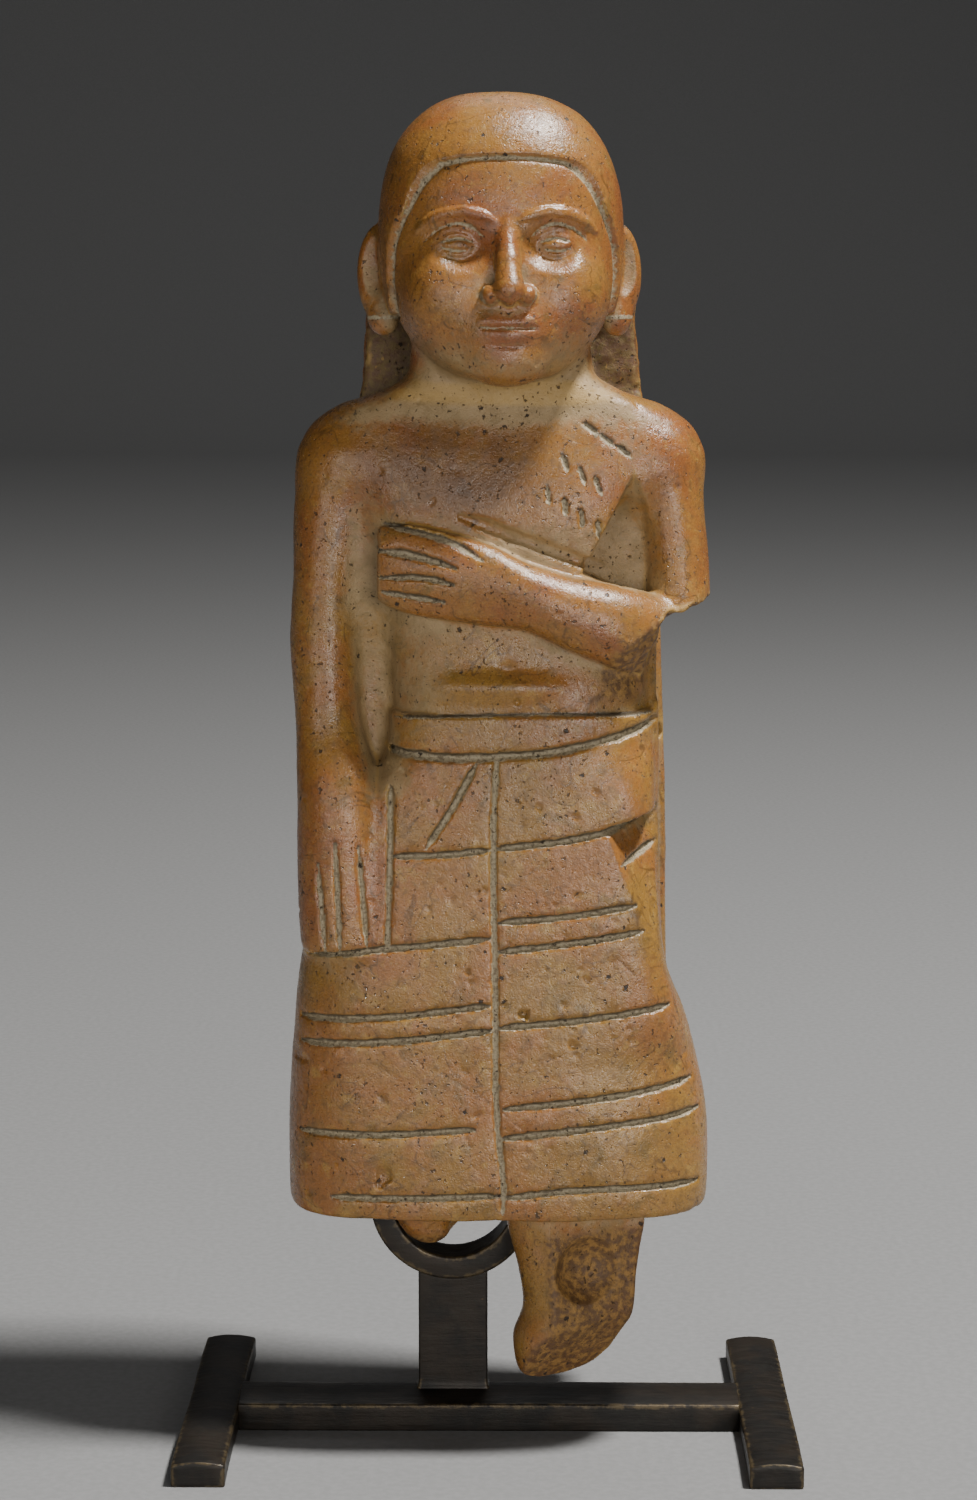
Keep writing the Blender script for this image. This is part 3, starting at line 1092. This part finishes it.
def stone_material():
    s = Shades("stone", {"Specular IOR Level": 0.5, "IOR": 1.55})
    c = STONE
    patches = s.noise(9, 4, 0.6, 3, 0.4)
    clouds = s.noise(4.2, 5, 0.62, 21, 0.3)
    marbling = s.noise(2.0, 4, 0.6, 47)
    mottle = s.noise(0.7, 4, 0.65, 9)
    grain = s.noise(0.16, 2, 0.6, 5)
    ruddy = s.mark("ruddy")
    colour = s.mix(s.ramp(patches, 0.4, 0.62), c["ochre"], c["orange"])
    colour = s.mix(s.ramp(clouds, 0.54, 0.7, 0, 0.55), colour, c["pink"])
    colour = s.mix(s.ramp(marbling, 0.55, 0.72, 0, 0.55), colour, c["yellow"])
    colour = s.mix(s.product(ruddy, s.ramp(clouds, 0.3, 0.6, 0.35, 0.85)), colour, c["orange"])
    colour = s.mix(s.product(ruddy, s.ramp(patches, 0.46, 0.64, 0, 0.8)), colour, c["red"])
    colour = s.mix(s.ramp(s.noise(3.1, 5, 0.62, 80, 0.5), 0.54, 0.72, 0, 0.6), colour, c["olive"])
    colour = s.mix(s.ramp(mottle, 0.48, 0.72, 0, 0.5), colour, c["brown"])
    colour = s.mix(s.ramp(s.noise(0.55, 4, 0.7, 33), 0.56, 0.72, 0, 0.5), colour, c["yellow"])
    colour = s.mix(s.ramp(grain, 0.35, 0.75, 0.0, 0.25), colour, c["speck"])
    vein = s.math("ABSOLUTE", s.math("SUBTRACT", s.noise(6, 2, 0.5, 60, 0.8), 0.5))
    colour = s.mix(s.product(s.ramp(vein, 0.011, 0.002), s.ramp(marbling, 0.4, 0.55, 0.1, 0.6)), colour, c["brown"])

    colour = s.mix(s.product(s.mark("dusk"), s.ramp(clouds, 0.3, 0.6, 0.4, 0.7)), colour, c["dusk"])
    film = s.sum(s.mark("hollow"), s.mark("film"), s.ramp(clouds, 0.35, 0.7, -0.1, 0.1), s.ramp(mottle, 0.3, 0.7, -0.12, 0.1))
    veiled = s.ramp(film, 0.2, 0.9, 0, 0.85)
    colour = s.mix(veiled, colour, s.mix(s.ramp(marbling, 0.42, 0.6, 0, 0.4), c["film"], c["olive"]))
    cut = s.sum(s.mark("cut"), s.ramp(mottle, 0.35, 0.65, -0.25, 0.15))
    laid = s.ramp(cut, 0.35, 0.75, 0, 0.92)
    crumbs = s.mix(s.ramp(s.noise(0.3, 3, 0.7, 31), 0.45, 0.65), c["deposit"], c["crumb"])
    colour = s.mix(laid, colour, crumbs)
    colour = s.mix(s.product(s.mark("grime"), 0.85), colour, c["dirt"])
    broken = s.mark("broken")
    colour = s.mix(s.product(broken, 0.85), colour, s.mix(s.ramp(mottle, 0.4, 0.65), c["break"], c["ochre"]))
    rubbed = s.mark("rubbed")
    scuffs = s.ramp(s.noise(0.5, 4, 0.7, 77, 0.6, (1, 1, 0.35)), 0.6, 0.68)
    matted = s.mix(s.product(scuffs, 0.6), s.mix(s.ramp(mottle, 0.4, 0.6), c["break"], c["olive"]), c["yellow"])
    colour = s.mix(s.product(rubbed, 0.85), colour, matted)
    sharp = s.ramp(s.mark("sharp"), 0.45, 0.95, 0, 0.55)
    colour = s.mix(s.product(sharp, s.math("SUBTRACT", 1.0, laid)), colour, c["yellow"])

    pit_distance, pit_pick = s.spots(1.9, 4)
    ragged = s.sum(pit_distance, s.ramp(s.noise(0.22, 2, 0.6, 51), 0.3, 0.7, -0.05, 0.05))
    pits = s.product(s.ramp(ragged, 0.13, 0.07), s.ramp(pit_pick, 0.6, 0.66))
    specks = s.ramp(s.sum(s.noise(0.42, 2, 0.5, 15), s.ramp(clouds, 0.35, 0.65, -0.03, 0.03)), 0.66, 0.73)
    flecks = s.ramp(s.noise(0.2, 2, 0.5, 71), 0.68, 0.75)
    marks = s.math("MAXIMUM", pits, s.math("MAXIMUM", s.product(specks, 0.8), s.product(flecks, 0.6)))
    colour = s.mix(marks, colour, c["speck"])
    s.put(s.surface.inputs["Base Color"], colour)

    dull = s.math("MAXIMUM", veiled, s.math("MAXIMUM", laid, s.math("MAXIMUM", broken, rubbed)))
    polish = s.ramp(mottle, 0.35, 0.7, 0.24, 0.4)
    rough = s.sum(s.product(dull, 0.35), polish, s.product(marks, 0.25))
    s.put(s.surface.inputs["Roughness"], s.math("MINIMUM", rough, 0.9))
    coarse = s.bump(s.sum(s.product(mottle, 0.6), s.product(marks, -0.8)), 0.12)
    s.put(s.surface.inputs["Normal"], s.bump(s.sum(grain, s.product(dull, s.noise(0.3, 3, 0.7, 12), 1.5)), 0.035, coarse))
    return s.material


BRONZE = {
    "brown": (0.028, 0.021, 0.015),
    "black": (0.013, 0.011, 0.009),
    "worn": (0.10, 0.072, 0.035),
    "green": (0.026, 0.028, 0.02),
}


def bronze_material():
    s = Shades("patinated_bronze", {"Metallic": 0.5, "Specular IOR Level": 0.5})
    c = BRONZE
    clouds = s.noise(5, 4, 0.6, 2, 0.3)
    mottle = s.noise(0.9, 4, 0.65, 30)
    brushed = s.noise(0.5, 4, 0.7, 8, 0, (0.12, 1, 1))
    colour = s.mix(s.ramp(clouds, 0.38, 0.62), c["brown"], c["black"])
    colour = s.mix(s.ramp(mottle, 0.5, 0.75, 0, 0.4), colour, c["green"])
    edge = s.sum(s.mark("worn"), s.ramp(mottle, 0.3, 0.7, -0.35, 0.2))
    colour = s.mix(s.ramp(edge, 0.7, 1.1, 0, 0.8), colour, c["worn"])
    spot_distance, spot_pick = s.spots(2.4, 5)
    spots = s.product(s.ramp(spot_distance, 0.05, 0.03), s.ramp(spot_pick, 0.6, 0.62))
    colour = s.mix(s.product(spots, 0.6), colour, c["worn"])
    s.put(s.surface.inputs["Base Color"], colour)
    s.put(s.surface.inputs["Roughness"], s.sum(s.ramp(brushed, 0.3, 0.7, 0.34, 0.5), s.ramp(clouds, 0.4, 0.6, 0, 0.06)))
    s.put(s.surface.inputs["Normal"], s.bump(s.sum(brushed, s.product(mottle, 0.8)), 0.03))
    return s.material


# Stand

def rounded_outline(corners, radius, steps=4):
    """A closed outline with its corners rounded; each corner is (a, b)."""
    points, bends = [], []
    count = len(corners)
    for i, corner in enumerate(corners):
        here = np.array(corner, float)
        before = np.array(corners[i - 1], float) - here
        after = np.array(corners[(i + 1) % count], float) - here
        start = here + before / np.linalg.norm(before) * radius
        end = here + after / np.linalg.norm(after) * radius
        for k in range(steps + 1):
            t = k / steps
            points.append((1 - t) ** 2 * start + 2 * t * (1 - t) * here + t * t * end)
            bends.append(1.0)
        gap = np.linalg.norm(np.array(corners[(i + 1) % count]) - here) - 2 * radius
        for k in range(1, max(2, int(gap / SKIN_STEP)) ):
            t = k / max(2, int(gap / SKIN_STEP))
            away = np.array(corners[(i + 1) % count], float) - after / np.linalg.norm(after) * radius
            points.append(end + (away - end) * t)
            bends.append(0.0)
    return np.array(points), np.array(bends)


SKIN_STEP = 0.7


def swept(name, rings, worn):
    """A closed skin over rings of points, its ends drawn together in small steps."""
    rings = list(rings)
    worn = list(worn)
    for at, back in ((0, 1), (-1, -2)):
        ring = rings[at]
        centre = ring.mean(axis=0)
        outward = centre - rings[back].mean(axis=0)
        outward /= np.linalg.norm(outward)
        caps, marks = [], []
        for share, push in END_STEPS:
            inner = centre + (ring - centre) * share
            caps.append(inner + outward * push)
            marks.append(np.full(len(ring), 1.0 if share > 0.8 else 0.0))
        if at == 0:
            rings = caps[::-1] + rings
            worn = marks[::-1] + worn
        else:
            rings = rings + caps
            worn = worn + marks
    sides = len(rings[0])
    count = len(rings)
    vertices = np.concatenate(rings)
    quads = []
    for r in range(count - 1):
        for k in range(sides):
            following = (k + 1) % sides
            quads.append((r * sides + k, r * sides + following, (r + 1) * sides + following, (r + 1) * sides + k))
    mesh = bpy.data.meshes.new(name)
    faces = [list(q) for q in quads]
    faces.append(list(range(sides))[::-1])
    faces.append([(count - 1) * sides + k for k in range(sides)])
    mesh.from_pydata([tuple(p * MM) for p in vertices], [], faces)
    mesh.update()
    mesh.shade_smooth()
    add_attribute(mesh, "worn", np.concatenate(worn))
    return mesh


END_STEPS = [(0.985, 0.09), (0.955, 0.16), (0.92, 0.19), (0.6, 0.2), (0.25, 0.2)]


def bar_rings(width, length, edge, crown, seed):
    """Rings of a flat bar with a softly crowned top, along y, slightly uneven as if finished by file."""
    random = np.random.default_rng(seed)
    half = width / 2
    outline, bends = rounded_outline([(-half, 0), (half, 0), (half, edge), (-half, edge)], 0.22)
    lift = (crown - edge) * (1 - (outline[:, 0] / half) ** 2)
    outline = outline + np.stack([np.zeros(len(outline)), np.where(outline[:, 1] > edge * 0.6, lift, 0)], 1)
    rings, worn = [], []
    sway = random.uniform(-0.05, 0.05, 4)
    for y in np.linspace(-length / 2 + 0.2, length / 2 - 0.2, max(8, int(length / 0.8))):
        t = y / length * 2
        drift = sway[0] * math.sin(3.1 * t) + sway[1] * math.cos(5.3 * t)
        dip = sway[2] * math.sin(4.1 * t + 1) * 0.8
        ring = np.zeros((len(outline), 3))
        ring[:, 0] = outline[:, 0] + drift
        ring[:, 1] = y
        ring[:, 2] = outline[:, 1] + np.where(outline[:, 1] > edge * 0.6, dip, 0)
        rings.append(ring)
        worn.append(bends * np.where(outline[:, 1] > edge * 0.6, 1, 0.3))
    return rings, worn


def cradle_rings():
    """Rings of the flat bar bent to a U."""
    low, high = CRADLE["inner"], CRADLE["outer"]
    near, far = CRADLE["near"], CRADLE["far"]
    outline, bends = rounded_outline([(low, near), (high, near), (high, far), (low, far)], 0.3)
    rings, worn = [], []
    rise = CRADLE["tip_z"] - CRADLE["centre_z"] - 0.2
    for angle in np.linspace(-180, 0, 60):
        a = math.radians(angle)
        straight = rise if abs(angle) in (0, 180) else 0
        ring = np.stack([POST["x"] + outline[:, 0] * math.cos(a), outline[:, 1],
                         CRADLE["centre_z"] + outline[:, 0] * math.sin(a) + straight], 1)
        rings.append(ring)
        worn.append(bends)
    return rings, worn


def post_rings():
    """Rings of the upright flat bar, with its brazed foot spread a little and its head meeting the U."""
    half, deep = POST["width"] / 2, POST["thick"] / 2
    bottom = CROSSBAR["crown"] + 0.05
    top = CRADLE["centre_z"] - CRADLE["outer"] + 0.1
    rings, worn = [], []
    outline, bends = rounded_outline([(-half, -deep), (half, -deep), (half, deep), (-half, deep)], 0.25)
    for z in np.concatenate([np.linspace(bottom, bottom + 1.2, 8)[:-1], np.linspace(bottom + 1.2, top, 16)]):
        braze = 0.2 * math.exp(-(z - bottom) / 0.22)
        ring = np.zeros((len(outline), 3))
        ring[:, 0] = POST["x"] + outline[:, 0] * (1 + braze / half)
        ring[:, 1] = POST["y"] + outline[:, 1] * (1 + braze / deep)
        bow = np.clip(1 - (outline[:, 0] / CRADLE["outer"]) ** 2, 0, 1)
        sag = CRADLE["outer"] * (1 - np.sqrt(bow))
        ring[:, 2] = z + sag * fade(z, top - 3.0, top)
        rings.append(ring)
        worn.append(bends * (0.6 if z > bottom + 1 else 1.0))
    return rings, worn


def make_stand():
    foot_x = (STAND_WIDTH - FOOT["width"]) / 2
    span = STAND_WIDTH - 2 * FOOT["width"] + 0.2
    plans = {
        "stand_foot_left": (bar_rings(FOOT["width"], FOOT["length"], FOOT["edge"], FOOT["crown"], 1), -foot_x, 0),
        "stand_foot_right": (bar_rings(FOOT["width"], FOOT["length"], FOOT["edge"], FOOT["crown"], 2), foot_x, 0),
        "stand_crossbar": (bar_rings(CROSSBAR["depth"], span, CROSSBAR["edge"], CROSSBAR["crown"], 3), 0, 90),
        "stand_post": (post_rings(), 0, 0),
        "stand_cradle": (cradle_rings(), 0, 0),
    }
    bronze = bronze_material()
    for node, ((rings, worn), x, turn) in plans.items():
        if turn:
            rings = [ring[:, (1, 0, 2)] * (1, -1, 1) for ring in rings]
        mesh = swept("worked_" + node, [ring + (x, 0, 0) for ring in rings], worn)
        mesh.materials.append(bronze)
        piece = add_object("worked_" + node, mesh)
        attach(piece, BODY)
        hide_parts(node)


# Floor, backdrop and lights

def make_stage():
    width, front, bend_at, radius, top = 6.0, -1.2, 1.6, 0.8, 2.6
    profile = [(front, 0.0), (bend_at, 0.0)]
    profile += [(bend_at + radius * math.sin(a), radius - radius * math.cos(a)) for a in np.linspace(0, math.pi / 2, 24)]
    profile += [(bend_at + radius, top)]
    points = [(x, y, z) for y, z in profile for x in (-width / 2, width / 2)]
    faces = [(2 * k, 2 * k + 1, 2 * k + 3, 2 * k + 2) for k in range(len(profile) - 1)]
    mesh = bpy.data.meshes.new("backdrop")
    mesh.from_pydata(points, [], faces)
    mesh.shade_smooth()
    paper = Shades("grey_paper", {"Specular IOR Level": 0.2})
    tone = paper.mix(paper.ramp(paper.noise(0.8, 2, 0.6), 0.3, 0.7), PAPER_DARK, PAPER_LIGHT)
    paper.put(paper.surface.inputs["Base Color"], tone)
    paper.put(paper.surface.inputs["Roughness"], paper.ramp(paper.noise(0.8, 2, 0.5, 5), 0.3, 0.7, 0.8, 0.9))
    mesh.materials.append(paper.material)
    add_object("backdrop", mesh)


PAPER_DARK = (0.225, 0.225, 0.225)
PAPER_LIGHT = (0.25, 0.25, 0.25)
AIM = (0.0, 0.0, 0.07)
LIGHTS = [
    ("side", (0.297, -0.065, 0.755), 0.09, 12.0, (1.0, 0.985, 0.96)),
    ("front", (0.30, -0.98, 0.17), 0.35, 4.4, (1.0, 0.99, 0.97)),
    ("left", (-0.45, -0.90, 0.20), 0.40, 2.0, (1.0, 0.99, 0.97)),
    ("back", (0.0, 1.5, 2.0), 1.2, 6.0, (1.0, 1.0, 1.0)),
]


def make_lights():
    for name, at, size, power, colour in LIGHTS:
        data = bpy.data.lights.new(name, "AREA")
        data.shape = "SQUARE"
        data.size = size
        data.energy = power
        data.color = colour
        lamp = bpy.data.objects.new(name, data)
        lamp.location = Vector(at)
        lamp.rotation_euler = (Vector(AIM) - Vector(at)).to_track_quat("-Z", "Y").to_euler()
        bpy.context.scene.collection.objects.link(lamp)


make_figure().data.materials.append(stone_material())
make_stand()
make_stage()
make_lights()
